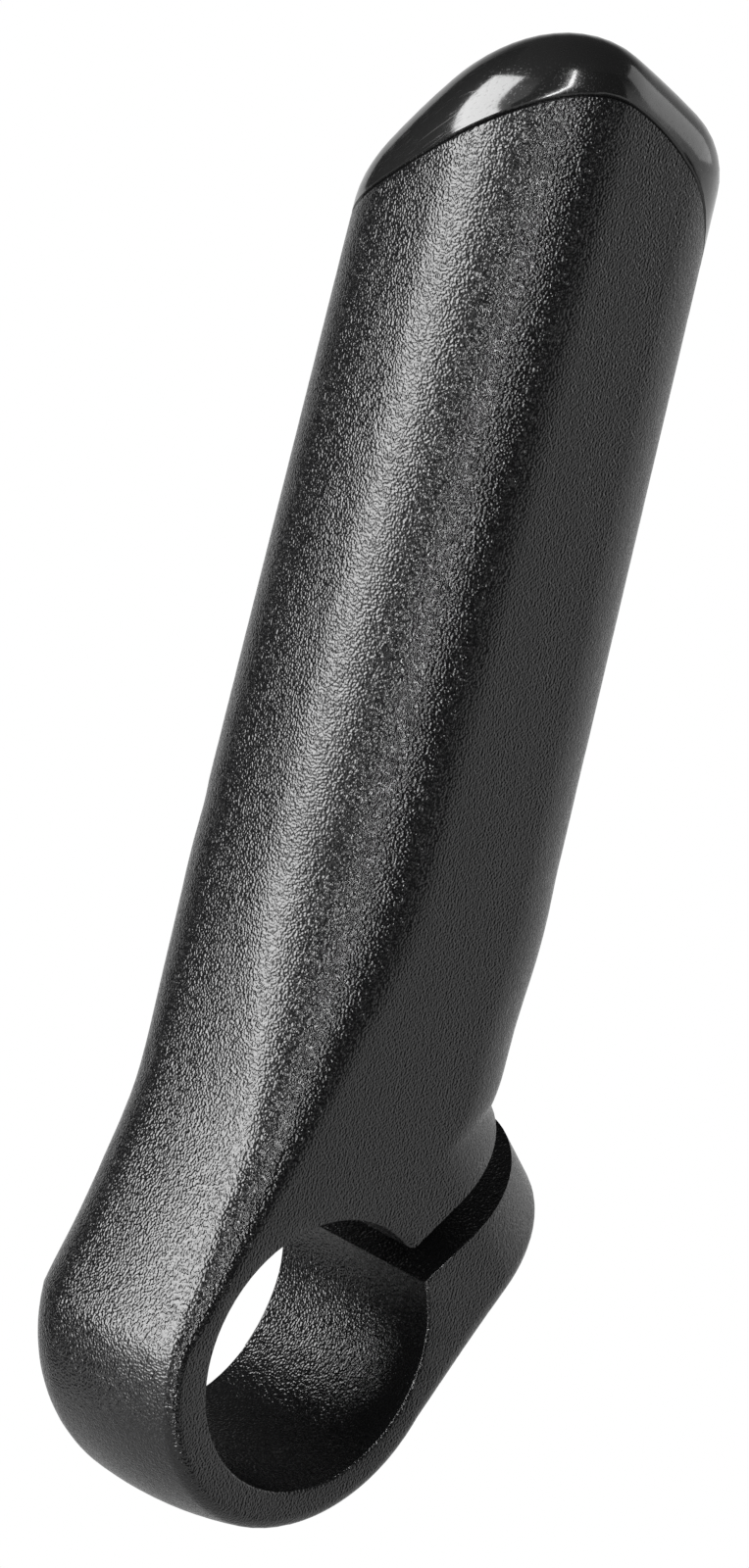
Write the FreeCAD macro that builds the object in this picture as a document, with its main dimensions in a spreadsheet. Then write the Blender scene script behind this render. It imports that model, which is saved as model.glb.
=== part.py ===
import FreeCAD, Part
import math
import os
import Sketcher

# Handlebar bar end: a clamp ring that grows into a short horn, its end plug and its clamp bolt.
# Origin on the axis of the bar bore, +X out of the flat outer face, +Z along the horn,
# +Y towards the slotted lug. All lengths are in millimetres.

os.makedirs("parts", exist_ok=True)
doc = FreeCAD.newDocument("bar_end")
X_AXIS = FreeCAD.Vector(1, 0, 0)
Y_AXIS = FreeCAD.Vector(0, 1, 0)

# Driving sizes, written once in the sheet
clamp_sizes = {
    "bore_r": 11.1,
    "face_x": 8.75,
    "rear_x": -10.75,
    "ring_r": 15.4,
    "ring_shift": -0.5,
    "ring_core_r": 6.0,
    "crown_r": 37.0,
    "crown_x": -1.0,
    "ring_edge_r": 1.3,
    "ring_rear_r": 7.4,
    "mouth_chamfer": 0.2,
    "rear_mouth_chamfer": 2.0,
}
lug_sizes = {
    "slot_angle": 45.0,
    "slot_low": -2.5,
    "slot_high": 1.05,
    "slot_lip_r": 0.8,
    "lug_start": 3.2,
    "lug_tip": 26.35,
    "lug_low": -17.0,
    "lug_high": 6.0,
    "underside_angle": -31.7,
    "underside_sink": 0.1,
    "lug_edge_r": 1.3,
    "lug_tip_edge_r": 2.2,
}
bolt_sizes = {
    "bolt_reach": 17.0,
    "bolt_x": -1.0,
    "bolt_shank_r": 2.45,
    "bolt_length": 20.0,
    "bolt_head_r": 4.25,
    "bolt_head_height": 5.0,
    "bolt_head_edge": 0.5,
    "bolt_tip_edge": 0.6,
    "socket_flats": 4.0,
    "socket_depth": 2.6,
    "washer_r": 4.9,
    "washer_height": 1.0,
    "seat_n": -6.4,
    "seat_r": 5.3,
    "clearance_r": 2.75,
    "thread_clearance": 0.05,
    "thread_run_out": 1.4,
    "washer_play": 0.3,
}
end_sizes = {
    "flare_rise": 4.0,
    "grip_length": 78.0,
    "cut_tilt": 38.3,
    "cut_turn": 0.0,
    "cut_r": 29.1,
    "cut_y": -7.2,
    "cut_crest": 100.64,
    "cut_start": 60.0,
    "rim_edge_r": 0.2,
    "cap_tilt": 48.6,
    "cap_turn": -17.25,
    "cap_r": 114.4,
    "cap_y": -12.15,
    "cap_crest": 112.99,
    "cap_edge_r": 3.0,
    "cap_gap": 0.05,
    "cap_thickness": 2.2,
    "wall": 3.0,
    "hollow_floor": 33.0,
    "spigot_gap": 0.08,
    "spigot_wall": 1.6,
    "spigot_drop": 9.0,
}

# One row of sizes for each station up the horn. The stations of the flare stand one rise apart,
# so that the loft stays calm, and the top one is at the grip's length above the last of them.
station_keys = ("left", "right", "back", "near_r", "rear_r", "right_r", "hind_r")
stations = {
    "root": (-15.9, 8.0, -10.75, 1.3, 7.4, 2.0, 2.0),
    "rise": (-14.7, 8.0, -10.75, 2.1, 7.7, 2.0, 2.0),
    "shoulder": (-13.5, 8.6, -10.8, 2.8, 7.8, 2.0, 2.0),
    "flare": (-12.3, 10.2, -10.95, 3.5, 7.8, 3.0, 3.0),
    "slope": (-11.15, 12.6, -11.3, 4.2, 7.8, 4.7, 5.0),
    "waist": (-10.5, 15.8, -11.9, 5.2, 7.95, 6.7, 7.3),
    "neck": (-10.1, 16.75, -12.6, 6.4, 8.3, 7.7, 8.6),
    "throat": (-9.75, 17.15, -13.2, 7.7, 8.6, 8.0, 9.0),
    "bulge": (-9.5, 17.5, -13.7, 8.8, 8.85, 8.0, 9.0),
    "crest": (-9.3, 17.5, -13.93, 9.4, 8.97, 8.0, 9.0),
    "grip": (-9.22, 17.35, -14.0, 9.5, 9.0, 8.0, 9.0),
    "top": (-7.95, 16.1, -14.0, 9.5, 9.0, 8.0, 9.0),
}

sheet = doc.addObject("Spreadsheet::Sheet", "Sizes")
size = {}
row = 1


def set_size(alias, value):
    global row
    sheet.set("A%d" % row, alias)
    sheet.set("B%d" % row, repr(value))
    sheet.setAlias("B%d" % row, alias)
    size[alias] = value
    row += 1


for group in (clamp_sizes, lug_sizes, bolt_sizes, end_sizes):
    for alias, value in group.items():
        set_size(alias, value)
for station, values in stations.items():
    for key, value in zip(station_keys, values):
        set_size(station + "_" + key, value)
doc.recompute()


def cell(expression):
    """Write sheet aliases in an expression as references to the sheet."""
    words = []
    for word in expression.split(" "):
        words.append("Sizes." + word if word in size else word)
    return " ".join(words)


def value_of(expression):
    """Work out the same expression from the plain sizes, for the first drawing of a sketch."""
    total, sign = 0.0, 1.0
    for word in expression.split(" "):
        if word == "+":
            sign = 1.0
        elif word == "-":
            sign = -1.0
        else:
            total += sign * (size[word] if word in size else float(word))
            sign = 1.0
    return total


def bind(item, **properties):
    for path, expression in properties.items():
        item.setExpression(path.replace("__", "."), cell(expression))
    return item


def turned(item, axis, angle):
    """Turn an item about one fixed axis by an angle of the sheet."""
    item.Placement = FreeCAD.Placement(FreeCAD.Vector(), FreeCAD.Rotation(axis, value_of(angle)))
    item.setExpression("Placement.Rotation.Angle", cell(angle))
    return item


def dimension(sketch, kind, name, expression, *where):
    number = sketch.addConstraint(Sketcher.Constraint(kind, *where, value_of(expression)))
    sketch.renameConstraint(number, name)
    sketch.setExpression("Constraints." + name, cell(expression))


def join(sketch, first, second, smooth=True):
    kind = "Tangent" if smooth else "Coincident"
    sketch.addConstraint(Sketcher.Constraint(kind, first, 2, second, 1))


def arc(cx, cy, r, start, end):
    circle = Part.Circle(FreeCAD.Vector(cx, cy, 0), FreeCAD.Vector(0, 0, 1), r)
    return Part.ArcOfCircle(circle, start, end)


def line(x1, y1, x2, y2):
    return Part.LineSegment(FreeCAD.Vector(x1, y1, 0), FreeCAD.Vector(x2, y2, 0))


def crown_corner(front, low, crown_r, crown_x, corner_r, side):
    """Centre of a corner arc that touches the crown arc and an upright line, and its bearing."""
    centre_x = front - side * corner_r
    across = centre_x - crown_x
    along = math.sqrt((crown_r - corner_r) ** 2 - across ** 2)
    return centre_x, low + crown_r - along, math.atan2(across, along)


def section(name, spec):
    """Closed horn section in the XY plane: flat front, crowned left side and four round corners.

    The wire runs from the front line round the near corner, the crown, the rear corner, the rear
    line, the hind corner and the right line to the right corner."""
    sketch = doc.addObject("Sketcher::SketchObject", name)
    v = {key: value_of(expression) for key, expression in spec.items()}
    half = math.pi / 2
    near = crown_corner(v["front"], v["left"], v["crown_r"], v["crown_x"], v["near_r"], 1)
    rear = crown_corner(v["back"], v["left"], v["crown_r"], v["crown_x"], v["rear_r"], -1)
    crown_y = v["left"] + v["crown_r"]
    right_x = v["front"] - v["right_r"]
    right_y = v["right"] - v["right_r"]
    hind_x = v["back"] + v["hind_r"]
    hind_y = v["right"] - v["hind_r"]
    sketch.addGeometry([
        line(v["front"], near[1], v["front"], right_y),
        arc(right_x, right_y, v["right_r"], 0, half),
        line(right_x, v["right"], hind_x, v["right"]),
        arc(hind_x, hind_y, v["hind_r"], half, 2 * half),
        line(v["back"], hind_y, v["back"], rear[1]),
        arc(rear[0], rear[1], v["rear_r"], 2 * half, 3 * half + rear[2]),
        arc(v["crown_x"], crown_y, v["crown_r"], 3 * half + rear[2], 3 * half + near[2]),
        arc(near[0], near[1], v["near_r"], 3 * half + near[2], 4 * half),
    ], False)
    for number in range(8):
        join(sketch, number, (number + 1) % 8)
    sketch.addConstraint(Sketcher.Constraint("Vertical", 0))
    sketch.addConstraint(Sketcher.Constraint("Horizontal", 2))
    sketch.addConstraint(Sketcher.Constraint("Vertical", 4))
    dimension(sketch, "DistanceX", "front", spec["front"], -1, 1, 0, 1)
    dimension(sketch, "DistanceX", "back", spec["back"], -1, 1, 4, 1)
    dimension(sketch, "DistanceY", "right", spec["right"], -1, 1, 2, 1)
    dimension(sketch, "DistanceX", "crown_x", spec["crown_x"], -1, 1, 6, 3)
    dimension(sketch, "DistanceY", "crown_y", spec["left"] + " + " + spec["crown_r"], -1, 1, 6, 3)
    dimension(sketch, "Radius", "crown_r", spec["crown_r"], 6)
    dimension(sketch, "Radius", "near_r", spec["near_r"], 7)
    dimension(sketch, "Radius", "rear_r", spec["rear_r"], 5)
    dimension(sketch, "Radius", "hind_r", spec["hind_r"], 3)
    dimension(sketch, "Radius", "right_r", spec["right_r"], 1)
    return sketch


def station_spec(station):
    spec = {key: station + "_" + key for key in station_keys}
    spec.update(front="face_x", crown_r="crown_r", crown_x="crown_x")
    return spec


def cut(base, tool, name=None):
    result = doc.addObject("Part::Cut", name or tool.Name + "_cut")
    result.Base = base
    result.Tool = tool
    return result


def common(first, second):
    result = doc.addObject("Part::Common", second.Name + "_kept")
    result.Base = first
    result.Tool = second
    return result


def fuse(name, items):
    result = doc.addObject("Part::MultiFuse", name)
    result.Shapes = items
    result.Refine = True
    return result


def extrusion(name, sketch, direction, forward, backward="0"):
    result = doc.addObject("Part::Extrusion", name)
    result.Base = sketch
    result.DirMode = "Custom"
    result.Dir = direction
    result.Solid = True
    bind(result, LengthFwd=forward, LengthRev=backward)
    return result


def cylinder(name, radius, height, **place):
    result = doc.addObject("Part::Cylinder", name)
    bind(result, Radius=radius, Height=height)
    for path, expression in place.items():
        result.setExpression("Placement.Base." + path, cell(expression))
    return result


# Horn: a smooth flare up to the grip, then a straight taper left long for the end cut
outlines = {}
grip_start = "%d * Sizes.flare_rise" % (len(stations) - 2)
for number, station in enumerate(stations):
    outlines[station] = section("outline_" + station, station_spec(station))
    outlines[station].setExpression("Placement.Base.z", "%d * Sizes.flare_rise" % number)
outlines["top"].setExpression("Placement.Base.z", grip_start + " + Sizes.grip_length")
flare = doc.addObject("Part::Loft", "flare")
flare.Sections = [outlines[station] for station in stations if station != "top"]
flare.Solid = True
flare.MaxDegree = 3
grip = doc.addObject("Part::Loft", "grip")
grip.Sections = [outlines["grip"], outlines["top"]]
grip.Solid = True
grip.Ruled = True


# Ring: the lower half of the clamp, a crowned profile turned about the bore line
ring_outline = doc.addObject("Sketcher::SketchObject", "ring_outline")
half = math.pi / 2
crown = (-size["ring_r"], size["crown_r"], size["crown_x"])
near = crown_corner(size["face_x"], *crown, size["ring_edge_r"], 1)
rear = crown_corner(size["rear_x"], *crown, size["ring_rear_r"], -1)
ring_outline.addGeometry([
    line(size["face_x"], size["ring_core_r"], size["face_x"], -near[1]),
    arc(near[0], -near[1], size["ring_edge_r"], 0, half - near[2]),
    arc(crown[2], -crown[0] - crown[1], crown[1], half - near[2], half - rear[2]),
    arc(rear[0], -rear[1], size["ring_rear_r"], half - rear[2], 2 * half),
    line(size["rear_x"], -rear[1], size["rear_x"], size["ring_core_r"]),
    line(size["rear_x"], size["ring_core_r"], size["face_x"], size["ring_core_r"]),
], False)
for number in range(6):
    join(ring_outline, number, (number + 1) % 6, number < 4)
for number, kind in ((0, "Vertical"), (4, "Vertical"), (5, "Horizontal")):
    ring_outline.addConstraint(Sketcher.Constraint(kind, number))
dimension(ring_outline, "DistanceX", "front", "face_x", -1, 1, 0, 1)
dimension(ring_outline, "DistanceX", "back", "rear_x", -1, 1, 4, 1)
dimension(ring_outline, "DistanceX", "crown_x", "crown_x", -1, 1, 2, 3)
dimension(ring_outline, "DistanceY", "crown_y", "ring_r - crown_r", -1, 1, 2, 3)
dimension(ring_outline, "DistanceY", "core", "ring_core_r", -1, 1, 0, 1)
dimension(ring_outline, "Radius", "crown_r", "crown_r", 2)
dimension(ring_outline, "Radius", "edge_r", "ring_edge_r", 1)
dimension(ring_outline, "Radius", "rear_r", "ring_rear_r", 3)
turned(ring_outline, X_AXIS, "180")
ring_outline.setExpression("Placement.Base.y", cell("ring_shift"))
ring = doc.addObject("Part::Revolution", "ring")
ring.Source = ring_outline
ring.Axis = X_AXIS
ring.Angle = 180
ring.Solid = True
bind(ring, Base__y="ring_shift")

# Lug: a round-ended block across the slot, square to the bolt
lug_outline = doc.addObject("Sketcher::SketchObject", "lug_outline")
lug_r = (size["face_x"] - size["rear_x"]) / 2
lug_x = (size["face_x"] + size["rear_x"]) / 2
lug_y = size["lug_tip"] - lug_r
lug_outline.addGeometry([
    line(size["face_x"], size["lug_start"], size["face_x"], lug_y),
    arc(lug_x, lug_y, lug_r, 0, math.pi),
    line(size["rear_x"], lug_y, size["rear_x"], size["lug_start"]),
    line(size["rear_x"], size["lug_start"], size["face_x"], size["lug_start"]),
], False)
join(lug_outline, 0, 1)
join(lug_outline, 1, 2)
join(lug_outline, 2, 3, False)
join(lug_outline, 3, 0, False)
lug_outline.addConstraint(Sketcher.Constraint("Vertical", 0))
lug_outline.addConstraint(Sketcher.Constraint("Vertical", 2))
lug_outline.addConstraint(Sketcher.Constraint("Horizontal", 3))
dimension(lug_outline, "DistanceX", "front", "face_x", -1, 1, 0, 1)
dimension(lug_outline, "DistanceX", "back", "rear_x", -1, 1, 2, 2)
dimension(lug_outline, "DistanceY", "start", "lug_start", -1, 1, 0, 1)
number = lug_outline.addConstraint(Sketcher.Constraint("DistanceY", -1, 1, 1, 3, lug_y))
lug_outline.renameConstraint(number, "reach")
lug_outline.setExpression("Constraints.reach", "Sizes.lug_tip - (Sizes.face_x - Sizes.rear_x) / 2")
turned(lug_outline, X_AXIS, "slot_angle")
slot_way = FreeCAD.Rotation(X_AXIS, size["slot_angle"])
lug = extrusion("lug", lug_outline, slot_way.multVec(FreeCAD.Vector(0, 0, 1)), "lug_high", "0 - lug_low")
for axis, turn in (("y", "-sin"), ("z", "cos")):
    lug.setExpression("Dir." + axis, turn + "(Sizes.slot_angle * 1 deg)")

# Underside of the lug: the ring's crown carried on in a straight line, with its edge rounded.
# It is sunk a little into the ring, so that the two surfaces cross instead of just touching.
under_limit = doc.addObject("Part::Cylinder", "under_limit")
turned(under_limit, X_AXIS, "underside_angle")
bind(under_limit, Radius="crown_r", Height="120")
under_cos, under_sin = "cos(Sizes.underside_angle * 1 deg)", "sin(Sizes.underside_angle * 1 deg)"
under_reach = "(Sizes.ring_r - Sizes.crown_r - Sizes.underside_sink + Sizes.ring_shift * %s)" % under_cos
under_limit.setExpression("Placement.Base.x", cell("crown_x"))
under_limit.setExpression("Placement.Base.y", "%s * %s + 60 * %s" % (under_reach, under_cos, under_sin))
under_limit.setExpression("Placement.Base.z", "%s * %s - 60 * %s" % (under_reach, under_sin, under_cos))
lug_trimmed = common(lug, under_limit)
doc.recompute()


def across_slot(point):
    """Distances of a point along the slot and square to it."""
    turn = math.radians(size["slot_angle"])
    return (point.y * math.cos(turn) + point.z * math.sin(turn),
            point.z * math.cos(turn) - point.y * math.sin(turn))


def rounded(name, base, pick, radii, kind="Part::Fillet"):
    """Round the edges that the test picks; radii gives the two end radii of an edge."""
    doc.recompute()
    result = doc.addObject(kind, name)
    result.Base = base
    result.Edges = [(number, *radii(edge)) for number, edge in enumerate(base.Shape.Edges, 1) if pick(edge)]
    return result


def evenly(alias):
    """One radius of the sheet at both ends of every edge."""
    return lambda edge: (size[alias], size[alias])


def lug_bottom(edge):
    along, over = across_slot(edge.CenterOfMass)
    return along > size["lug_start"] + 1 and over < size["seat_n"] and len(edge.Vertexes) == 2


def lug_radii(edge):
    """The tip keeps the larger radius, which runs down to the ring's edge radius on both sides."""
    ends = [across_slot(vertex.Point)[0] for vertex in edge.Vertexes]
    return [size["lug_edge_r"] if end < size["lug_start"] + 1 else size["lug_tip_edge_r"] for end in ends]


lug_rounded = rounded("lug_rounded", lug_trimmed, lug_bottom, lug_radii)
rough_body = fuse("rough_body", [flare, grip, ring, lug_rounded])

# Bar bore with a small chamfer at the outer mouth and a longer lead-in behind
bore = cylinder("bore", "bore_r", "face_x - rear_x + 2", x="rear_x - 1")
bore.Placement.Rotation = FreeCAD.Rotation(Y_AXIS, 90)


def mouth_cone(name, depth, face, way):
    cone = doc.addObject("Part::Cone", name)
    cone.Placement.Rotation = FreeCAD.Rotation(Y_AXIS, 90 * way)
    bind(cone, Radius1="bore_r", Radius2="bore_r + " + depth + " + 0.5", Height=depth + " + 0.5")
    cone.setExpression("Placement.Base.x", cell(face + (" - " if way > 0 else " + ") + depth))
    return cone


front_cone = mouth_cone("front_cone", "mouth_chamfer", "face_x", 1)
rear_cone = mouth_cone("rear_cone", "rear_mouth_chamfer", "rear_x", -1)

# Slot across the lug, from inside the bore outwards
slot = doc.addObject("Part::Box", "slot")
turned(slot, X_AXIS, "slot_angle")
bind(slot, Length="40", Width="34", Height="slot_high - slot_low")
slot.setExpression("Placement.Base.x", "-20 mm")
slot_cos, slot_sin = "cos(Sizes.slot_angle * 1 deg)", "sin(Sizes.slot_angle * 1 deg)"
slot.setExpression("Placement.Base.y", "8 * %s - Sizes.slot_low * %s" % (slot_cos, slot_sin))
slot.setExpression("Placement.Base.z", "8 * %s + Sizes.slot_low * %s" % (slot_sin, slot_cos))


def on_bolt_line(item, start):
    """Stand an item on the bolt line at a level across the slot."""
    turned(item, X_AXIS, "slot_angle")
    item.setExpression("Placement.Base.x", cell("bolt_x"))
    reach, level = cell("bolt_reach"), cell(start)
    angle = "(Sizes.slot_angle * 1 deg)"
    item.setExpression("Placement.Base.y", "%s * cos%s - (%s) * sin%s" % (reach, angle, level, angle))
    item.setExpression("Placement.Base.z", "%s * sin%s + (%s) * cos%s" % (reach, angle, level, angle))
    return item


def bolt_cylinder(name, radius, start, height):
    """A cylinder on the bolt line, its height counted across the slot from the start level."""
    item = doc.addObject("Part::Cylinder", name)
    bind(item, Radius=radius, Height=height)
    return on_bolt_line(item, start)


clearance = bolt_cylinder("clearance", "clearance_r", "seat_n - 1", "0 - seat_n + 1")
seat = bolt_cylinder("seat", "seat_r", "seat_n - 20", "20")
bolt_end = "seat_n - washer_height + bolt_length"
thread = bolt_cylinder("thread", "bolt_shank_r + thread_clearance", "0", bolt_end + " + thread_run_out")

# Hollow inside the horn, open at the cut end
hollow_spec = dict(
    front="face_x - wall", back="grip_back + wall", left="top_left + wall + 0.6",
    right="top_right - wall - 0.3", crown_r="crown_r", crown_x="crown_x", near_r="grip_near_r - wall",
    rear_r="grip_rear_r - wall", right_r="grip_right_r - wall", hind_r="grip_hind_r - wall")
hollow_outline = section("hollow_outline", hollow_spec)
hollow_outline.setExpression("Placement.Base.z", cell("hollow_floor"))
hollow = extrusion("hollow", hollow_outline, FreeCAD.Vector(0, 0, 1), "80")


# The end cut and the top of the plug are both long cylinders, tilted back and turned sideways
def tilted_axis(kind):
    tilt, turn = math.radians(size[kind + "_tilt"]), math.radians(size[kind + "_turn"])
    return FreeCAD.Vector(math.cos(tilt) * math.cos(turn), math.cos(tilt) * math.sin(turn), math.sin(tilt))


def tilted_cylinder(name, kind, radius, drop="0"):
    item = doc.addObject("Part::Cylinder", name)
    item.Placement.Rotation = FreeCAD.Rotation(size[kind + "_turn"], 90 - size[kind + "_tilt"], 0)
    item.setExpression("Placement.Rotation.Yaw", cell(kind + "_turn"))
    item.setExpression("Placement.Rotation.Pitch", cell("90 - " + kind + "_tilt"))
    bind(item, Radius=radius, Height="400")
    tilt, turn = "(Sizes.%s_tilt * 1 deg)" % kind, "(Sizes.%s_turn * 1 deg)" % kind
    item.setExpression("Placement.Base.x", "Sizes.face_x - 200 * cos%s * cos%s" % (tilt, turn))
    item.setExpression("Placement.Base.y", cell(kind + "_y") + " - 200 * cos%s * sin%s" % (tilt, turn))
    crest = "Sizes.%s_crest - Sizes.%s_r / cos%s - %s" % (kind, kind, tilt, cell(drop))
    item.setExpression("Placement.Base.z", crest + " - 200 * sin" + tilt)
    return item


def upper_block(name):
    item = doc.addObject("Part::Box", name)
    bind(item, Length="80", Width="80", Height="80")
    item.Placement.Base = FreeCAD.Vector(-40, -40, 0)
    item.setExpression("Placement.Base.z", cell("cut_start"))
    return item


end_tool = cut(upper_block("end_block"), tilted_cylinder("end_cut", "cut", "cut_r"))
tools = [bore, front_cone, rear_cone, slot, clearance, seat, thread, hollow, end_tool]
horn_cut = cut(rough_body, fuse("horn_tools", tools))


def slot_lip(edge):
    along, over = across_slot(edge.CenterOfMass)
    inner = math.sqrt(size["bore_r"] ** 2 - size["slot_high"] ** 2)
    return abs(over - size["slot_high"]) < 0.02 and abs(along - inner) < 0.1 and edge.Length > 10


def cut_rim(base):
    """A test for the outer edges of the face that the end cut leaves."""
    doc.recompute()
    rim = []
    for face in base.Shape.Faces:
        if hasattr(face.Surface, "Radius") and face.BoundBox.ZMax > size["cut_start"]:
            if abs(face.Surface.Radius - size["cut_r"]) < 0.2 and abs(face.Surface.Axis.x) < 0.9:
                rim += face.OuterWire.Edges
    return lambda edge: any(edge.isSame(other) for other in rim)


horn_lip = rounded("horn_lip", horn_cut, slot_lip, evenly("slot_lip_r"))
horn = rounded("horn", horn_lip, cut_rim(horn_lip), evenly("rim_edge_r"), "Part::Chamfer")

# End plug: a domed cap that carries the horn's form on, and a hollow spigot that presses into the horn
cap_block = common(grip, upper_block("cap_zone"))
cap_form = common(cap_block, tilted_cylinder("cap_limit", "cap", "cap_r"))


def cap_top(edge):
    """Edges between the top of the cap and its walls."""
    level = size["cap_crest"] - size["cap_r"] / math.cos(math.radians(size["cap_tilt"]))
    start = FreeCAD.Vector(size["face_x"], size["cap_y"], level)
    away = [vertex.Point.distanceToLine(start, tilted_axis("cap")) for vertex in edge.Vertexes]
    return all(abs(distance - size["cap_r"]) < 0.05 for distance in away)


cap_domed = rounded("cap_domed", cap_form, cap_top, evenly("cap_edge_r"))
cap_cut = cut(cap_domed, tilted_cylinder("cap_seat", "cut", "cut_r + cap_gap"))
cap = rounded("cap", cap_cut, cut_rim(cap_cut), evenly("rim_edge_r"), "Part::Chamfer")


def inset_spec(*insets):
    """The hollow's outline drawn in evenly by the sum of the insets."""
    spec = dict(hollow_spec)
    for key, expression in hollow_spec.items():
        if key != "crown_x":
            sign = " + " if key in ("back", "left") else " - "
            spec[key] = expression + "".join(sign + inset for inset in insets)
    return spec


def upright(name, spec):
    """A tall bar of a section, from the hollow's floor upwards."""
    outline = section(name + "_outline", spec)
    outline.setExpression("Placement.Base.z", cell("hollow_floor"))
    return extrusion(name, outline, FreeCAD.Vector(0, 0, 1), "80")


spigot_bar = upright("spigot_bar", inset_spec("spigot_gap"))
spigot_top = tilted_cylinder("spigot_top", "cut", "cut_r + cap_gap + 0.2")
spigot_under = cut(spigot_bar, tilted_cylinder("spigot_foot", "cut", "cut_r", "spigot_drop"))
spigot = common(spigot_under, spigot_top)
plug_core = upright("plug_core", inset_spec("spigot_gap", "spigot_wall"))
plug_hollow = common(plug_core, tilted_cylinder("cap_roof", "cap", "cap_r - cap_thickness"))
end_plug = cut(fuse("plug_solid", [cap, spigot]), plug_hollow, "end_plug")


# Clamp bolt with a socket head, and the washer under it
def outer_circle(alias, over):
    """The circle of a given radius at a given level across the slot."""
    def pick(edge):
        off = max(abs(across_slot(edge.CenterOfMass)[1] - over), abs(edge.Length / math.tau - size[alias]))
        return len(edge.Vertexes) == 1 and off < 0.01
    return pick


head_level = "seat_n - washer_height"
washer_disc = bolt_cylinder("washer_disc", "washer_r", head_level, "washer_height")
washer_hole = bolt_cylinder("washer_hole", "bolt_shank_r + washer_play", head_level, "washer_height")
bolt_washer = cut(washer_disc, washer_hole, "bolt_washer")
head_end = head_level + " - bolt_head_height"
head = bolt_cylinder("head", "bolt_head_r", head_end, "bolt_head_height")
head_rim = outer_circle("bolt_head_r", value_of(head_end))
head_eased = rounded("head_eased", head, head_rim, evenly("bolt_head_edge"), "Part::Chamfer")
shank = bolt_cylinder("shank", "bolt_shank_r", head_level, "bolt_length")
shank_end = outer_circle("bolt_shank_r", value_of(bolt_end))
shank_eased = rounded("shank_eased", shank, shank_end, evenly("bolt_tip_edge"), "Part::Chamfer")
socket = doc.addObject("Part::Prism", "socket")
socket.Polygon = 6
socket.setExpression("Circumradius", "Sizes.socket_flats / 2 / cos(30 deg)")
bind(socket, Height="socket_depth")
on_bolt_line(socket, head_end)
clamp_bolt = cut(fuse("bolt_solid", [head_eased, shank_eased]), socket, "clamp_bolt")

# Check every object, then write one file for each piece
doc.recompute()
for item in doc.Objects:
    if "Invalid" in item.State or "Error" in item.State:
        raise RuntimeError(item.Label + " did not compute")
    if hasattr(item, "Shape") and (item.Shape.isNull() or not item.Shape.isValid()):
        raise RuntimeError(item.Label + " has no valid shape")
for piece in (horn, end_plug, bolt_washer, clamp_bolt):
    if len(piece.Shape.Solids) != 1:
        raise RuntimeError(piece.Label + " is not one solid")
    piece.Shape.exportStep("parts/" + piece.Label + ".step")
    print("%s: %.1f cubic millimetres" % (piece.Label, piece.Shape.Volume))
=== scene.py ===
import math

import bmesh
import bpy
from mathutils import Matrix, Vector


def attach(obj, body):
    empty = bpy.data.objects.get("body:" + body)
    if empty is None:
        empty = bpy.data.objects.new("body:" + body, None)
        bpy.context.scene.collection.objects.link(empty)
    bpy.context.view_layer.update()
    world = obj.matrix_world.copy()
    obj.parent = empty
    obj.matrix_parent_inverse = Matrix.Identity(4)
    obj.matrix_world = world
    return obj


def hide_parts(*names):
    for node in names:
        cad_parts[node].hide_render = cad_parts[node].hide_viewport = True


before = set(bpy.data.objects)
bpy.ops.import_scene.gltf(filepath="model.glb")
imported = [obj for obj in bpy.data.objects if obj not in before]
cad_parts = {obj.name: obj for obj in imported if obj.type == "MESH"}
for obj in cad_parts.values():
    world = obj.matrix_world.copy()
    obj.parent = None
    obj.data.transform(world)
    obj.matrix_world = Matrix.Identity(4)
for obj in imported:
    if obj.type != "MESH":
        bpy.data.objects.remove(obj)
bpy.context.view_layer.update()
mm = 0.001
sameSpot = 0.0000001  # metres: points closer than this are one
print("frame loaded")

bpy.context.scene.view_settings.view_transform = "Standard"

# Camera, placed as the photograph was taken: a long lens, low, rolled a little
cameraPlace = {
    "azimuth": 45.147,
    "elevation": 12.217,
    "roll": 13.657,
    "location": (0.478605, -0.476269, 0.189453),
    "lens": 208.45,
    "sensor": 36,
    "clip": (0.01, 30),
}


def makeCamera():
    data = bpy.data.cameras.new("camera")
    data.sensor_width = cameraPlace["sensor"]
    data.lens = cameraPlace["lens"]
    data.clip_start, data.clip_end = cameraPlace["clip"]
    azimuth = math.radians(cameraPlace["azimuth"])
    elevation = math.radians(cameraPlace["elevation"])
    back = Vector((
        math.sin(azimuth) * math.cos(elevation),
        -math.cos(azimuth) * math.cos(elevation),
        math.sin(elevation),
    ))
    right = Vector((math.cos(azimuth), math.sin(azimuth), 0))
    turn = Matrix((right, back.cross(right), back)).transposed()
    turn = turn @ Matrix.Rotation(math.radians(cameraPlace["roll"]), 3, "Z")
    camera = bpy.data.objects.new("camera", data)
    camera.matrix_world = Matrix.Translation(cameraPlace["location"]) @ turn.to_4x4()
    bpy.context.scene.collection.objects.link(camera)
    bpy.context.scene.camera = camera


makeCamera()
print("camera placed")


# Small helpers for shader nodes
def feed(tree, socket, value):
    # a number is set on the socket, and an output is linked to it
    if isinstance(value, (int, float)):
        socket.default_value = value
    else:
        tree.links.new(value, socket)


def mathNode(tree, kind, *values):
    node = tree.nodes.new("ShaderNodeMath")
    node.operation = kind
    for socket, value in zip(node.inputs, values):
        feed(tree, socket, value)
    return node.outputs[0]


def rangeNode(tree, value, fromPair=(0, 1), toPair=(0, 1)):
    node = tree.nodes.new("ShaderNodeMapRange")
    labels = ("Value", "From Min", "From Max", "To Min", "To Max")
    for label, item in zip(labels, (value, *fromPair, *toPair)):
        feed(tree, node.inputs[label], item)
    return node.outputs["Result"]


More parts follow.
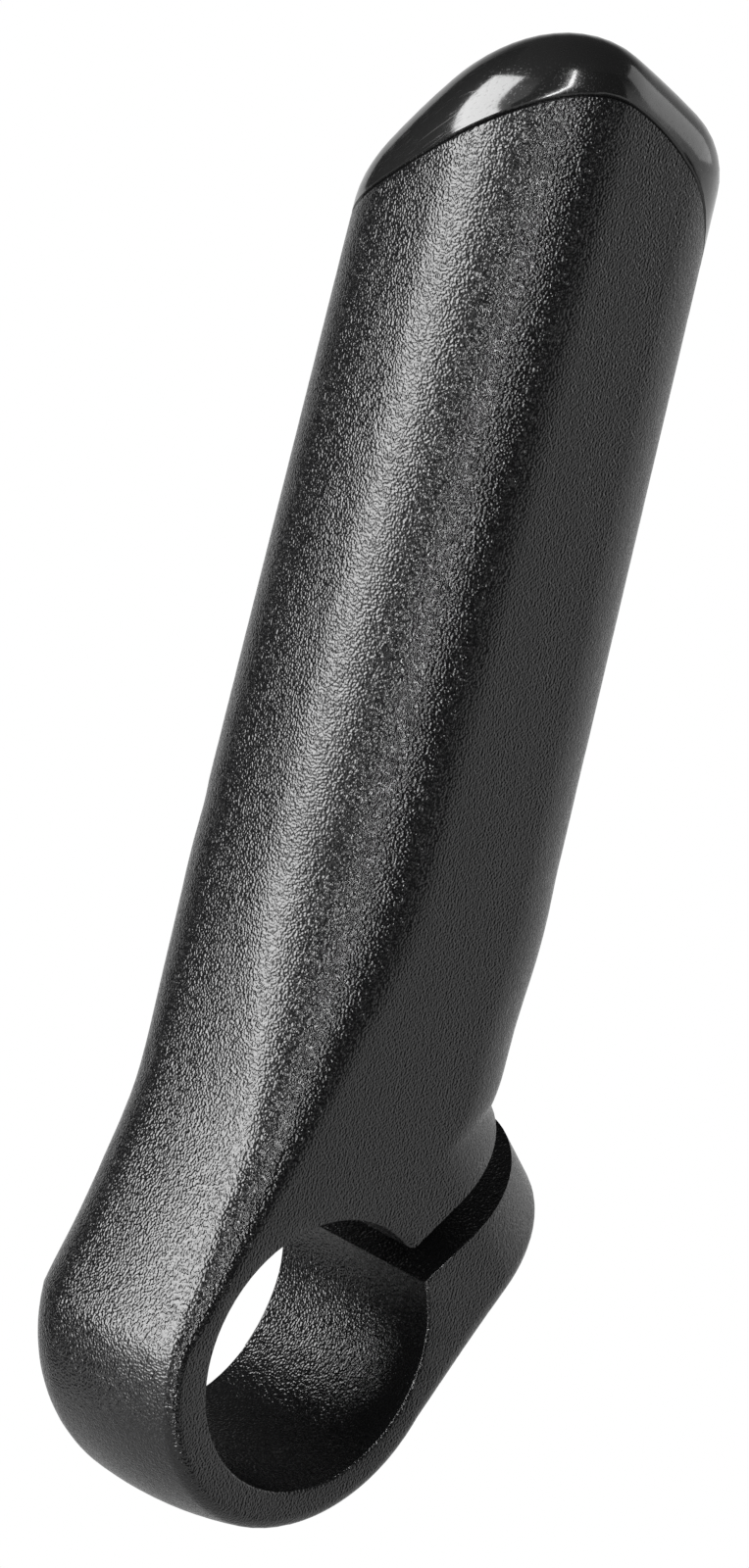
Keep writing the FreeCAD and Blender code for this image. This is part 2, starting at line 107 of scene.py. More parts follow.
def noiseNode(tree, place, scale, detail=0.0, roughness=0.5):
    node = tree.nodes.new("ShaderNodeTexNoise")
    tree.links.new(place, node.inputs["Vector"])
    feed(tree, node.inputs["Scale"], scale)
    node.inputs["Detail"].default_value = detail
    node.inputs["Roughness"].default_value = roughness
    return node.outputs["Fac"]


# Studio: a soft box beside the camera and a dim one below it, a narrow strip, a faint side box,
# a pale floor, a sky that reflections find dark overhead, and three dark cards that the camera
# doesn't see. Bearings are in degrees round the part, from +X towards +Y, and lengths in metres.
studio = {
    "aimHeight": 0.04,
    "softBox": {"bearing": -106, "distance": 0.8, "width": 0.58, "height": 0.7, "rise": 0.12, "watts": 13},
    "lowBox": {"bearing": -106, "distance": 0.8, "width": 0.58, "height": 0.7, "rise": -0.58, "watts": 1.6},
    "strip": {"bearing": -30, "distance": 0.9, "width": 0.07, "height": 2.0, "rise": 0.0, "watts": 9},
    "sideBox": {"bearing": 73, "distance": 0.9, "width": 0.55, "height": 0.62, "rise": 0.37, "watts": 1.0},
    "skyForLight": 0.3,
    "skyForGloss": 0.6,
    "ceilingForGloss": 0.05,
    "ceilingSpan": (0.1, 0.5),
    "floorColour": (0.85, 0.85, 0.85, 1),
    "floorRoughness": 0.9,
    "floorHeight": -0.6,
    "floorRadius": 9.0,
    "floorSides": 96,
    # the floor's glow that reflections see, from near the object to far: dimmer near it, a painted shadow
    "paintedShadowDistances": (0.4, 2.2),
    "floorGlossWithPaintedShadow": (0.4, 0.68),
    "cardColour": (0.01, 0.01, 0.01, 1),
    "cardRoughness": 0.9,
    "cardSpecular": 0.1,
    "cardDistance": 0.8,
    "cardHeight": 1.7,
    "cardMiddle": 0.1,
    "cards": ((7, 56), (-50, 26), (-156, 56)),  # bearing, and the angle that the card fills
}


def onBearing(bearing, distance, height):
    angle = math.radians(bearing)
    return Vector((math.cos(angle) * distance, math.sin(angle) * distance, height))


def addLamp(name):
    place = studio[name]
    data = bpy.data.lights.new(name, "AREA")
    data.shape = "RECTANGLE"
    data.size = place["width"]
    data.size_y = place["height"]
    data.energy = place["watts"]
    aim = Vector((0, 0, studio["aimHeight"]))
    lamp = bpy.data.objects.new(name, data)
    lamp.location = onBearing(place["bearing"], place["distance"], studio["aimHeight"] + place["rise"])
    lamp.rotation_mode = "QUATERNION"
    lamp.rotation_quaternion = (lamp.location - aim).to_track_quat("Z", "Y")
    bpy.context.scene.collection.objects.link(lamp)


def makeWorld():
    world = bpy.data.worlds.new("studio")
    world.use_nodes = True
    bpy.context.scene.world = world
    tree = world.node_tree
    path = tree.nodes.new("ShaderNodeLightPath")
    # reflections find a bright horizon and a dark ceiling, and the camera finds white
    way = tree.nodes.new("ShaderNodeTexCoord")
    split = tree.nodes.new("ShaderNodeSeparateXYZ")
    tree.links.new(way.outputs["Generated"], split.inputs["Vector"])
    skyPair = (studio["skyForGloss"], studio["ceilingForGloss"])
    ceiling = rangeNode(tree, split.outputs["Z"], studio["ceilingSpan"], skyPair)
    level = rangeNode(tree, path.outputs["Is Glossy Ray"], toPair=(studio["skyForLight"], ceiling))
    level = mathNode(tree, "MAXIMUM", level, path.outputs["Is Camera Ray"])
    background = tree.nodes["Background"]
    background.inputs["Color"].default_value = (1, 1, 1, 1)
    tree.links.new(level, background.inputs["Strength"])


def makeFloor():
    bm = bmesh.new()
    bmesh.ops.create_circle(bm, cap_ends=True, segments=studio["floorSides"], radius=studio["floorRadius"])
    bmesh.ops.translate(bm, verts=bm.verts, vec=(0, 0, studio["floorHeight"]))
    mesh = bpy.data.meshes.new("floor")
    bm.to_mesh(mesh)
    bm.free()
    floor = bpy.data.objects.new("floor", mesh)
    bpy.context.scene.collection.objects.link(floor)
    material = bpy.data.materials.new("paleFloor")
    material.use_nodes = True
    tree = material.node_tree
    shader = tree.nodes["Principled BSDF"]
    shader.inputs["Base Color"].default_value = studio["floorColour"]
    shader.inputs["Roughness"].default_value = studio["floorRoughness"]
    # the camera and reflections see a plain glow, which reflections find dimmer close to the object: a
    # painted shadow of the object
    path = tree.nodes.new("ShaderNodeLightPath")
    seen = mathNode(tree, "MAXIMUM", path.outputs["Is Camera Ray"], path.outputs["Is Glossy Ray"])
    place = tree.nodes.new("ShaderNodeTexCoord")
    away = tree.nodes.new("ShaderNodeVectorMath")
    away.operation = "LENGTH"
    tree.links.new(place.outputs["Object"], away.inputs[0])
    # painted shadow: the glow that reflections see is dimmed near the object
    paintedShadow = rangeNode(tree, away.outputs["Value"], studio["paintedShadowDistances"], studio["floorGlossWithPaintedShadow"])
    glow = tree.nodes.new("ShaderNodeEmission")
    tree.links.new(mathNode(tree, "MAXIMUM", paintedShadow, path.outputs["Is Camera Ray"]), glow.inputs["Strength"])
    mix = tree.nodes.new("ShaderNodeMixShader")
    tree.links.new(seen, mix.inputs[0])
    tree.links.new(shader.outputs[0], mix.inputs[1])
    tree.links.new(glow.outputs[0], mix.inputs[2])
    tree.links.new(mix.outputs[0], tree.nodes["Material Output"].inputs["Surface"])
    mesh.materials.append(material)


def makeCards():
    black = bpy.data.materials.new("darkCard")
    black.use_nodes = True
    shader = black.node_tree.nodes["Principled BSDF"]
    shader.inputs["Base Color"].default_value = studio["cardColour"]
    shader.inputs["Roughness"].default_value = studio["cardRoughness"]
    shader.inputs["Specular IOR Level"].default_value = studio["cardSpecular"]
    for number, (bearing, spread) in enumerate(studio["cards"]):
        bm = bmesh.new()
        bmesh.ops.create_grid(bm, x_segments=1, y_segments=1, size=0.5)
        width = 2 * studio["cardDistance"] * math.tan(math.radians(spread / 2))
        bmesh.ops.scale(bm, verts=bm.verts, vec=(width, studio["cardHeight"], 1))
        spot = onBearing(bearing, studio["cardDistance"], studio["cardMiddle"])
        turn = onBearing(bearing, 1, 0).to_track_quat("Z", "Y").to_matrix().to_4x4()
        bmesh.ops.transform(bm, verts=bm.verts, matrix=Matrix.Translation(spot) @ turn)
        mesh = bpy.data.meshes.new("card%d" % number)
        bm.to_mesh(mesh)
        bm.free()
        mesh.materials.append(black)
        card = bpy.data.objects.new("card%d" % number, mesh)
        card.visible_camera = False
        bpy.context.scene.collection.objects.link(card)


makeWorld()
addLamp("softBox")
addLamp("lowBox")
addLamp("strip")
addLamp("sideBox")
makeFloor()
makeCards()
print("studio lit")


# Finishes: an effect group gives a height and a dullness, which drive the bump and the roughness
def newGroup(name, inputs):
    group = bpy.data.node_groups.new(name, "ShaderNodeTree")
    for label, value in inputs:
        socket = group.interface.new_socket(label, in_out="INPUT", socket_type="NodeSocketFloat")
        socket.default_value = value
    for label in ("Height", "Dullness"):
        group.interface.new_socket(label, in_out="OUTPUT", socket_type="NodeSocketFloat")
    enter = group.nodes.new("NodeGroupInput")
    leave = group.nodes.new("NodeGroupOutput")
    place = group.nodes.new("ShaderNodeTexCoord").outputs["Object"]
    return group, enter, leave, place


def makeFinish(name, finish, effect):
    material = bpy.data.materials.new(name)
    material.use_nodes = True
    tree = material.node_tree
    shader = tree.nodes["Principled BSDF"]
    for label, value in finish["shader"].items():
        shader.inputs[label].default_value = value
    group = tree.nodes.new("ShaderNodeGroup")
    group.node_tree = effect
    for label, value in finish["effect"].items():
        group.inputs[label].default_value = value
    bump = tree.nodes.new("ShaderNodeBump")
    bump.inputs["Distance"].default_value = finish["bumpDepth"]
    tree.links.new(group.outputs["Height"], bump.inputs["Height"])
    tree.links.new(bump.outputs["Normal"], shader.inputs["Normal"])
    sheen = rangeNode(tree, group.outputs["Dullness"], finish["dullSpan"], finish["roughness"])
    shader.inputs["Roughness"].default_value = finish["roughness"][0]
    tree.links.new(sheen, shader.inputs["Roughness"])
    return material


def newPiece(name, bm, material, sharpAngle):
    mesh = bpy.data.meshes.new(name)
    bm.to_mesh(mesh)
    bm.free()
    mesh.shade_smooth()
    mesh.set_sharp_from_angle(angle=math.radians(sharpAngle))
    mesh.materials.append(material)
    piece = bpy.data.objects.new(name, mesh)
    bpy.context.scene.collection.objects.link(piece)
    return piece


# End plug: a moulded cap with a soft rim on the horn's outline, and the hollow spigot under it.
# Lengths are in mm and angles in degrees, but bumpDepth is in metres and Bearing in radians.
plug = {
    "finish": {
        "shader": {
            "Base Color": (0.010, 0.010, 0.010, 1),
            "IOR": 1.5,
            "Coat Weight": 0.6,
            "Coat Roughness": 0.08,
        },
        "effect": {"Scratch Width": 0.13, "Scratch Length": 5.0, "Bearing": 0.75},
        "bumpDepth": 0.00003,
        "dullSpan": (0, 1),
        "roughness": (0.16, 0.34),
    },
    "scratchSpan": (0.58, 0.7),
    "scratchHeight": 0.08,
    "wrinkleScale": 900,
    "wrinkleHeight": 0.5,
    # the horn's outline, which the cap carries on: left and right are given at the lower and the
    # upper height, and crown is the radius of the left side
    "outline": {
        "face": 8.75,
        "back": -14.0,
        "left": (-9.22, -7.95),
        "right": (17.35, 16.1),
        "heights": (40.0, 118.0),
        "crown": 37.0,
        "crownAcross": -1.0,
        "corners": {"near": 9.5, "rear": 9.0, "right": 8.0, "hind": 9.0},
    },
    "joint": {"tilt": 38.3, "turn": 0.0, "radius": 29.1, "y": -7.2, "z": 63.56},
    "top": {"tilt": 47.3, "turn": -39.0, "radius": 86.75, "y": 18.39, "z": -29.34},
    "topShares": (0.12, 0.25, 0.4, 0.55, 0.7, 0.85, 0.95),
    "rim": 4.0,
    "rimSteps": 18,
    "traceSteps": (8, 24),  # up the wall, and over the rim
    "gap": 0.05,
    "edge": 0.2,
    "spigotInset": 3.1,
    "spigotWall": 1.6,
    "spigotDrop": 9.0,
    "roof": 3.4,
    "roofBevel": 0.6,
    "firstHeight": 85.0,  # where the search for a row's height starts
    "passes": 3,
    "halvings": 20,
    "sharpAngle": 40,
}


def makeHairlines():
    # rubbed plastic: long fine scratches one way, and soft wrinkles from the mould
    inputs = (("Scratch Width", 0.12), ("Scratch Length", 4.0), ("Bearing", 0.6))
    group, enter, leave, place = newGroup("hairlines", inputs)
    turned = group.nodes.new("ShaderNodeVectorRotate")
    turned.rotation_type = "Y_AXIS"
    group.links.new(place, turned.inputs["Vector"])
    group.links.new(enter.outputs["Bearing"], turned.inputs["Angle"])
    along = mathNode(group, "DIVIDE", 1 / mm, enter.outputs["Scratch Length"])
    across = mathNode(group, "DIVIDE", 1 / mm, enter.outputs["Scratch Width"])
    stretch = group.nodes.new("ShaderNodeCombineXYZ")
    group.links.new(along, stretch.inputs["X"])
    group.links.new(across, stretch.inputs["Y"])
    group.links.new(across, stretch.inputs["Z"])
    scaled = group.nodes.new("ShaderNodeVectorMath")
    scaled.operation = "MULTIPLY"
    group.links.new(turned.outputs["Vector"], scaled.inputs[0])
    group.links.new(stretch.outputs["Vector"], scaled.inputs[1])
    lines = noiseNode(group, scaled.outputs["Vector"], 1.0, detail=1.0)
    scratches = rangeNode(group, lines, plug["scratchSpan"])
    wrinkles = noiseNode(group, place, plug["wrinkleScale"], detail=2.0, roughness=0.55)
    raised = mathNode(group, "MULTIPLY", wrinkles, plug["wrinkleHeight"])
    sunk = mathNode(group, "MULTIPLY", scratches, plug["scratchHeight"])
    group.links.new(mathNode(group, "SUBTRACT", raised, sunk), leave.inputs["Height"])
    group.links.new(scratches, leave.inputs["Dullness"])
    return group


def crownCorner(edge, low, radius, side):
    # centre of a corner that touches the crowned left side, and where it touches
    crown = plug["outline"]["crown"]
    across = edge - side * radius - plug["outline"]["crownAcross"]
    along = math.sqrt((crown - radius) ** 2 - across ** 2)
    return edge - side * radius, low + crown - along, math.atan2(across, along)


def outlineAt(height):
    # points round the horn at one height, each with the direction that faces outwards
    form = plug["outline"]
    low, high = form["heights"]
    share = (height - low) / (high - low)
    left = form["left"][0] + share * (form["left"][1] - form["left"][0])
    right = form["right"][0] + share * (form["right"][1] - form["right"][0])
    face, back, corners = form["face"], form["back"], form["corners"]
    near = crownCorner(face, left, corners["near"], 1)
    rear = crownCorner(back, left, corners["rear"], -1)
    quarter = math.pi / 2
    # each arc: its centre, its radius, the bearings that it runs between, the steps on it, and
    # the points on the straight after it, or -1 where the next arc goes straight on from it
    arcs = (
        (face - corners["right"], right - corners["right"], corners["right"], 0, quarter, 12, 3),
        (back + corners["hind"], right - corners["hind"], corners["hind"], quarter, 2 * quarter, 12, 6),
        (rear[0], rear[1], corners["rear"], 2 * quarter, 3 * quarter + rear[2], 12, -1),
        (form["crownAcross"], left + form["crown"], form["crown"], 3 * quarter + rear[2],
         3 * quarter + near[2], 4, -1),
        (near[0], near[1], corners["near"], 3 * quarter + near[2], 4 * quarter, 14, 6),
    )
    points = []
    for number, (x, y, radius, start, end, count, after) in enumerate(arcs):
        for step in range(count + (after >= 0)):
            angle = start + (end - start) * step / count
            way = Vector((math.cos(angle), math.sin(angle)))
            points.append((Vector((x, y)) + way * radius, way))
        later = arcs[(number + 1) % len(arcs)]
        laterWay = Vector((math.cos(later[3]), math.sin(later[3])))
        laterSpot = Vector((later[0], later[1])) + laterWay * later[2]
        for step in range(1, after + 1):
            points.append((points[-1][0].lerp(laterSpot, 1 / (after + 2 - step)), way))
    return points


def barrelHeight(form, spot, shrink=0.0):
    # height of a long barrel surface that is tilted back, over a point of the plan
    tilt = math.radians(form["tilt"])
    turn = math.radians(form["turn"])
    px = spot[0] - plug["outline"]["face"]
    py = spot[1] - form["y"]
    along = px * math.cos(tilt) * math.cos(turn) + py * math.cos(tilt) * math.sin(turn)
    inside = (form["radius"] - shrink) ** 2 + along ** 2 - px ** 2 - py ** 2
    root = math.sqrt(max((along * math.sin(tilt)) ** 2 + math.cos(tilt) ** 2 * inside, 0))
    return form["z"] + (along * math.sin(tilt) + root) / math.cos(tilt) ** 2


def barrelNormal(form, spot):
    here = barrelHeight(form, spot)
    step = 0.05
    slopeX = (barrelHeight(form, (spot[0] + step, spot[1])) - here) / step
    slopeY = (barrelHeight(form, (spot[0], spot[1] + step)) - here) / step
    return Vector((-slopeX, -slopeY, 1)).normalized()


# Rules that give a height over a point of the plan
def jointHeight(spot):
    return barrelHeight(plug["joint"], spot) + plug["gap"]


def wallFootHeight(spot):
    return jointHeight(spot) + plug["edge"]


def spigotFootHeight(spot):
    return jointHeight(spot) - plug["spigotDrop"]


def roofHeight(spot):
    return barrelHeight(plug["top"], spot, plug["roof"])


def ballHeight(spot):
    # centre of a ball as large as the rim, which touches the top from below
    return barrelHeight(plug["top"], spot, plug["rim"])


def rowPoint(number, height, inset, heightOf):
    spot, way = outlineAt(height)[number]
    inner = spot - way * inset
    return Vector((inner.x, inner.y, heightOf(inner))), way


def rowAt(inset, heightOf):
    # one row round the piece: the outline drawn in by the inset, at the height that the rule gives
    row = [Vector((0, 0, plug["firstHeight"]))] * len(outlineAt(plug["firstHeight"]))
    for again in range(plug["passes"]):
        row = [rowPoint(number, point.z, inset, heightOf)[0] for number, point in enumerate(row)]
    return row


def rimPoint(centre, side, normal, share):
    # point on the ball that rolls between the wall and the top
    return centre + side.lerp(normal, share).normalized() * plug["rim"]


def evenSteps(points, steps):
    # the same line, stepped evenly along its length
    lengths = [0.0]
    for first, second in zip(points, points[1:]):
        lengths.append(lengths[-1] + (second - first).length)
    spaced = []
    at = 1
    for step in range(steps + 1):
        wanted = lengths[-1] * step / steps
        while at < len(points) - 1 and lengths[at] < wanted:
            at += 1
        part = (wanted - lengths[at - 1]) / (lengths[at] - lengths[at - 1])
        spaced.append(points[at - 1].lerp(points[at], part))
    return spaced


def wallPath(number):
    # points from the joint up the wall and over the rim, for one place round the cap
    height = plug["firstHeight"]
    for again in range(plug["passes"]):
        centre, way = rowPoint(number, height, plug["rim"], ballHeight)
        height = centre.z
    side = Vector((way.x, way.y, 0))
    normal = barrelNormal(plug["top"], centre)
    foot = rimPoint(centre, side, normal, 0)
    for again in range(plug["passes"]):
        foot = rowPoint(number, foot.z, 0.0, wallFootHeight)[0]
    wallSteps, rimSteps = plug["traceSteps"]
    wall = []
    start = 0.0
    if centre.z < foot.z:
        # the joint cuts the rim itself, so the rim starts where it comes out of the joint
        low, high = 0.0, 1.0
        for again in range(plug["halvings"]):
            start = (low + high) / 2
            point = rimPoint(centre, side, normal, start)
            if point.z < wallFootHeight(point):
                low = start
            else:
                high = start
    else:
        rimFoot = rimPoint(centre, side, normal, 0)
        wall = [foot.lerp(rimFoot, step / wallSteps) for step in range(wallSteps)]
    for step in range(rimSteps + 1):
        wall.append(rimPoint(centre, side, normal, start + (1 - start) * step / rimSteps))
    return evenSteps(wall, plug["rimSteps"]), side


def addLoop(bm, points):
    verts = [bm.verts.new(point * mm) for point in points]
    return [bm.edges.new((verts[n - 1], verts[n])) for n in range(len(verts))]


def makePlug(material):
    # No operator rolls a ball between two such surfaces, so the cap's rows are worked out here
    # and bridge_loops makes the faces between them.
    outer = plug["spigotInset"]
    inner = outer + plug["spigotWall"]
    bevel = plug["roofBevel"]
    # inside of the spigot, then its foot and its outside
    rows = [
        rowAt(inner + bevel, roofHeight),
        [point - Vector((0, 0, bevel)) for point in rowAt(inner, roofHeight)],
        rowAt(inner, spigotFootHeight),
        rowAt(outer, spigotFootHeight),
        rowAt(outer, jointHeight),
    ]
    # shoulder on the cut, then the wall and the rim
    paths = [wallPath(number) for number in range(len(rows[0]))]
    shoulder = []
    for path, side in paths:
        spot = path[0] - side * plug["edge"]
        shoulder.append(Vector((spot.x, spot.y, jointHeight(spot))))
    rows.append(shoulder)
    rows += [[path[step] for path, side in paths] for step in range(plug["rimSteps"] + 1)]
    # top, drawn in row by row to the middle
    last = rows[-1]
    middle = sum(last, Vector()) / len(last)
    for share in plug["topShares"]:
        spots = [point.lerp(middle, share) for point in last]
        rows.append([Vector((spot.x, spot.y, barrelHeight(plug["top"], spot))) for spot in spots])
    bm = bmesh.new()
    loops = [addLoop(bm, row) for row in rows]
    for first, second in zip(loops, loops[1:]):
        bmesh.ops.bridge_loops(bm, edges=first + second)
    bmesh.ops.holes_fill(bm, edges=loops[0], sides=0)
    bmesh.ops.holes_fill(bm, edges=loops[-1], sides=0)
    bmesh.ops.recalc_face_normals(bm, faces=bm.faces)
    piece = newPiece("endPlug", bm, material, plug["sharpAngle"])
    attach(piece, "bar_end")
    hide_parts("end_plug")


makePlug(makeFinish("mouldedGloss", plug["finish"], makeHairlines()))
print("plug made")


# Horn: the casting of the frame in black anodising over a blasted skin, with its flare shaded
# softly into the ring. The weld and bumpDepth are in metres, and Grain Size is in mm.
horn = {
    "finish": {
        "shader": {"Base Color": (0.006, 0.006, 0.0063, 1), "IOR": 1.6},
        "effect": {"Grain Size": 0.19},
        "bumpDepth": 0.00008,
        "dullSpan": (0, 1),
        "roughness": (0.11, 0.3),
    },
    "patchRatio": 1.15,
    "patchSpan": (0.35, 0.65),
    "weld": 0.000002,
    "sharpAngle": 24,
}


def makeBlastGrain():
    # bead blasting: fine overlapping dimples, and spots of duller skin about as fine
    group, enter, leave, place = newGroup("blastGrain", (("Grain Size", 0.25),))
    scale = mathNode(group, "DIVIDE", 1 / mm, enter.outputs["Grain Size"])
    dimples = noiseNode(group, place, scale)
    patches = noiseNode(group, place, mathNode(group, "MULTIPLY", scale, horn["patchRatio"]))
    group.links.new(dimples, leave.inputs["Height"])
    group.links.new(rangeNode(group, patches, horn["patchSpan"]), leave.inputs["Dullness"])
    return group


def makeHorn(material):
    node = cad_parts["horn"]
    bm = bmesh.new()
    bm.from_mesh(node.data)
    bmesh.ops.transform(bm, verts=bm.verts, matrix=node.matrix_world)
    bmesh.ops.remove_doubles(bm, verts=bm.verts, dist=horn["weld"])
    bmesh.ops.recalc_face_normals(bm, faces=bm.faces)
    piece = newPiece("hornCasting", bm, material, horn["sharpAngle"])
    # large faces lead, which hides the slight angle at the flare's foot
    weighted = piece.modifiers.new("weighted", "WEIGHTED_NORMAL")
    weighted.mode = "FACE_AREA"
    weighted.keep_sharp = True
    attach(piece, "bar_end")
    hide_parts("horn")


makeHorn(makeFinish("blastedBlack", horn["finish"], makeBlastGrain()))
print("horn made")


# Clamp screw in black oxide: fluted head with a hexagon socket, and a threaded shank.
# Lengths are in mm. Heights run along the screw's line, towards the tip, and 0 is level with the
# bore's middle.
screw = {
    "finish": {
        "shader": {"Base Color": (0.035, 0.035, 0.038, 1), "IOR": 1.5, "Metallic": 1.0},
        "effect": {"Ring Width": 0.25, "Mark Size": 1.2},
        "bumpDepth": 0.00002,
        "dullSpan": (0.3, 0.7),
        "roughness": (0.3, 0.5),
    },
    "ringHeight": 0.3,
    "across": -1.0,
    "reach": 17.0,
    "slotBearing": 45.0,
    "headEnd": -12.4,
    "headFoot": -7.4,
    "tip": 12.6,
    "headRadius": 4.25,
    "endFlat": (2.5, 3.5),  # radii between which the head's end is flat
    "endRound": ((0.53, 0.04), (0.14, 0.42), (0.0, 0.62)),  # in from the head's radius, up from its end
    "footRound": ((0.0, 0.38), (0.1, 0.1), (0.35, 0.0)),  # in from it too, back from the head's foot
    "sideSteps": 3,
    "flutes": 48,
    "fluteDepth": 0.12,
    "socketFlats": 4.0,
    "socketDepth": 2.5,
    "socketLip": 0.06,
    "socketCone": 0.5,
    "shankRadius": 2.45,
    "neck": (0.1, 0.05, 0.12),  # out at the head's foot, in under it, and the height of that step
    "plain": 1.9,
    "threadFrom": 2.1,  # past the head's foot
    "threadTo": 1.3,  # short of the tip
    "threadDepth": 0.42,
    "threadRoot": (0.1, 0.2),  # heights within one pitch
    "threadCrest": (0.55, 0.65),
    "pitch": 0.8,
    "tipBevel": (0.1, 0.6),  # in from the thread's root, back from the tip
    "sharpAngle": 32,
}


def placeOnScrewLine():
    # local X across the clamp, local Z from the head to the tip
    angle = math.radians(screw["slotBearing"])
    along = Vector((0, math.cos(angle), math.sin(angle)))
    line = Vector((0, -math.sin(angle), math.cos(angle)))
    matrix = Matrix((Vector((1, 0, 0)), along, line)).transposed().to_4x4()
    matrix.translation = (Vector((screw["across"], 0, 0)) + along * screw["reach"]) * mm
    return matrix


screwPlace = placeOnScrewLine()


def makeTurning():
    # rings left by turning, round the screw's own line, with light handling marks over them
    group, enter, leave, place = newGroup("turning", (("Ring Width", 0.2), ("Mark Size", 1.5)))
    local = group.nodes.new("ShaderNodeMapping")
    local.vector_type = "TEXTURE"
    local.inputs["Location"].default_value = screwPlace.to_translation()
    local.inputs["Rotation"].default_value = screwPlace.to_euler()
    group.links.new(place, local.inputs["Vector"])
    split = group.nodes.new("ShaderNodeSeparateXYZ")
    group.links.new(local.outputs["Vector"], split.inputs["Vector"])
    square = mathNode(group, "MULTIPLY", split.outputs["X"], split.outputs["X"])
    square = mathNode(group, "MULTIPLY_ADD", split.outputs["Y"], split.outputs["Y"], square)
    radius = mathNode(group, "SQRT", square)
    turns = mathNode(group, "DIVIDE", 2 * math.pi / mm, enter.outputs["Ring Width"])
    rings = mathNode(group, "SINE", mathNode(group, "MULTIPLY", radius, turns))
    markScale = mathNode(group, "DIVIDE", 1 / mm, enter.outputs["Mark Size"])
    marks = noiseNode(group, place, markScale, detail=4.0, roughness=0.6)
    height = mathNode(group, "MULTIPLY_ADD", rings, screw["ringHeight"], marks)
    group.links.new(height, leave.inputs["Height"])
    group.links.new(marks, leave.inputs["Dullness"])
    return group


def spinProfile(bm, points, steps, closed=False):
    # turn a line of radius and height pairs right round local Z
    verts = [bm.verts.new((radius * mm, 0, height * mm)) for radius, height in points]
    edges = [bm.edges.new(pair) for pair in zip(verts, verts[1:])]
    if closed:
        edges.append(bm.edges.new((verts[-1], verts[0])))
    bmesh.ops.spin(bm, geom=verts + edges, cent=(0, 0, 0), axis=(0, 0, 1), angle=2 * math.pi, steps=steps,
                   use_merge=True)
    bmesh.ops.remove_doubles(bm, verts=bm.verts, dist=sameSpot)


def screwProfile():
    # from the socket's rim over the head and down the thread to the middle of the tip
    outer, end, foot, tip = screw["headRadius"], screw["headEnd"], screw["headFoot"], screw["tip"]
    crest = screw["shankRadius"]
    root = crest - screw["threadDepth"]
    profile = [(radius, end) for radius in screw["endFlat"]]
    profile += [(outer - inward, end + up) for inward, up in screw["endRound"]]
    sideLow = profile[-1][1]
    sideHigh = foot - screw["footRound"][0][1]
    for step in range(1, screw["sideSteps"]):
        profile.append((outer, sideLow + (sideHigh - sideLow) * step / screw["sideSteps"]))
    profile += [(outer - inward, foot - back) for inward, back in screw["footRound"]]
    flare, slim, rise = screw["neck"]
    profile += [(crest + flare, foot), (crest - slim, foot + rise), (crest - slim, foot + screw["plain"])]
    height = foot + screw["threadFrom"]
    while height < tip - screw["threadTo"]:
        profile += [(root, height + up) for up in screw["threadRoot"]]
        profile += [(crest, height + up) for up in screw["threadCrest"]]
        height += screw["pitch"]
    inward, back = screw["tipBevel"]
    return profile + [(crest - slim, tip - back), (root - inward, tip), (0, tip)]


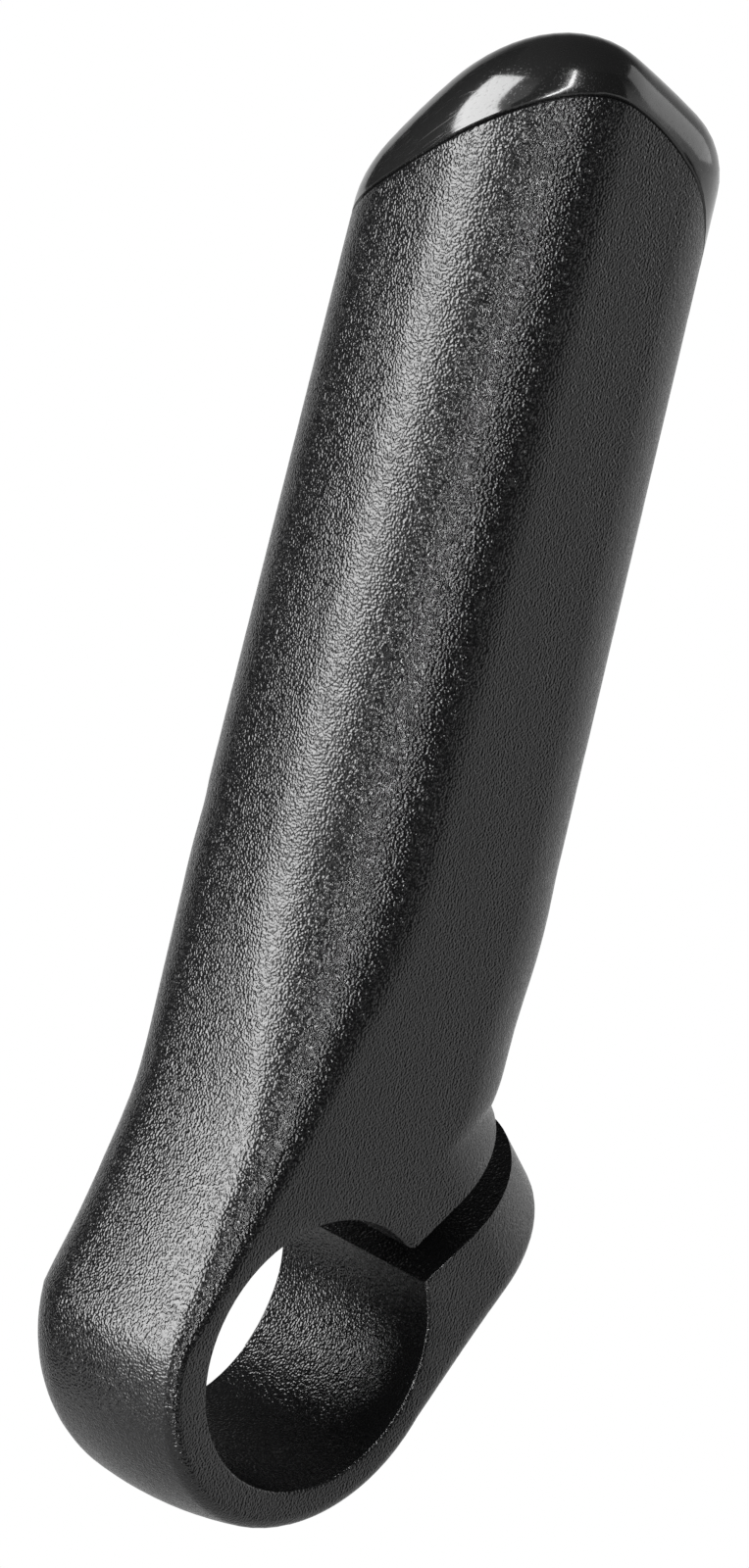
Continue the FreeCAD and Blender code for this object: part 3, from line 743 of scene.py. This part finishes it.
def makeScrew(material):
    steps = screw["flutes"] * 2
    end = screw["headEnd"]
    bm = bmesh.new()
    spinProfile(bm, screwProfile(), steps)
    # flutes: every second upright line of the head goes in
    outer, depth = screw["headRadius"], screw["fluteDepth"]
    for vert in bm.verts:
        radius = math.hypot(vert.co.x, vert.co.y) / mm
        number = round(math.atan2(vert.co.y, vert.co.x) / (2 * math.pi) * steps)
        if radius > outer - depth / 2 and number % 2:
            bmesh.ops.scale(bm, verts=[vert], vec=(1 - depth / outer, 1 - depth / outer, 1))
    # socket: a hexagon let into the head's end
    rim = [edge for edge in bm.edges if edge.is_boundary]
    ring = bmesh.ops.create_circle(bm, segments=6, radius=screw["socketFlats"] / math.sqrt(3) * mm)["verts"]
    bmesh.ops.translate(bm, verts=ring, vec=(0, 0, (end + screw["socketLip"]) * mm))
    sides = [edge for edge in bm.edges if edge.is_wire]
    bmesh.ops.subdivide_edges(bm, edges=sides, cuts=steps // 6 - 1)
    hexagon = [edge for edge in bm.edges if edge.is_wire]
    bmesh.ops.bridge_loops(bm, edges=rim + hexagon)
    wall = bmesh.ops.extrude_edge_only(bm, edges=hexagon)["geom"]
    deep = [item for item in wall if isinstance(item, bmesh.types.BMVert)]
    bmesh.ops.translate(bm, verts=deep, vec=(0, 0, screw["socketDepth"] * mm))
    floor = [item for item in wall if isinstance(item, bmesh.types.BMEdge) and item.is_boundary]
    cone = bmesh.ops.extrude_edge_only(bm, edges=floor)["geom"]
    point = [item for item in cone if isinstance(item, bmesh.types.BMVert)]
    bottom = (end + screw["socketDepth"] + screw["socketCone"]) * mm
    bmesh.ops.pointmerge(bm, verts=point, merge_co=(0, 0, bottom))
    bmesh.ops.recalc_face_normals(bm, faces=bm.faces)
    bmesh.ops.transform(bm, verts=bm.verts, matrix=screwPlace)
    piece = newPiece("clampScrew", bm, material, screw["sharpAngle"])
    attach(piece, "screw")
    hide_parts("clamp_bolt")


turning = makeTurning()
makeScrew(makeFinish("blackOxide", screw["finish"], turning))
print("screw made")


# Washer in bright zinc: stamped, so that its edges are round on one side and sharp on the other.
# Its heights are on the screw's line too.
washer = {
    "finish": {
        "shader": {"Base Color": (0.52, 0.53, 0.55, 1), "IOR": 1.5, "Metallic": 1.0},
        "effect": {"Ring Width": 0.3, "Mark Size": 0.8},
        "bumpDepth": 0.00002,
        "dullSpan": (0.3, 0.7),
        "roughness": (0.22, 0.45),
    },
    "inner": 2.75,
    "outer": 4.9,
    "near": -7.4,
    "far": -6.4,
    "round": 0.22,
    "roundShare": 0.3,
    "burr": 0.05,
    "steps": 96,
    "sharpAngle": 32,
}


def makeWasher(material):
    inner, outer, near, far = washer["inner"], washer["outer"], washer["near"], washer["far"]
    soft, burr = washer["round"], washer["burr"]
    share = soft * washer["roundShare"]
    profile = [
        (inner + soft, near),
        (outer - soft, near),
        (outer - share, near + share),
        (outer, near + soft),
        (outer, far - burr),
        (outer - burr, far),
        (inner + burr, far),
        (inner, far - burr),
        (inner, near + soft),
        (inner + share, near + share),
    ]
    bm = bmesh.new()
    spinProfile(bm, profile, washer["steps"], closed=True)
    bmesh.ops.recalc_face_normals(bm, faces=bm.faces)
    bmesh.ops.transform(bm, verts=bm.verts, matrix=screwPlace)
    piece = newPiece("screwWasher", bm, material, washer["sharpAngle"])
    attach(piece, "washer")
    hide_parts("bolt_washer")


makeWasher(makeFinish("brightZinc", washer["finish"], turning))
print("washer made")
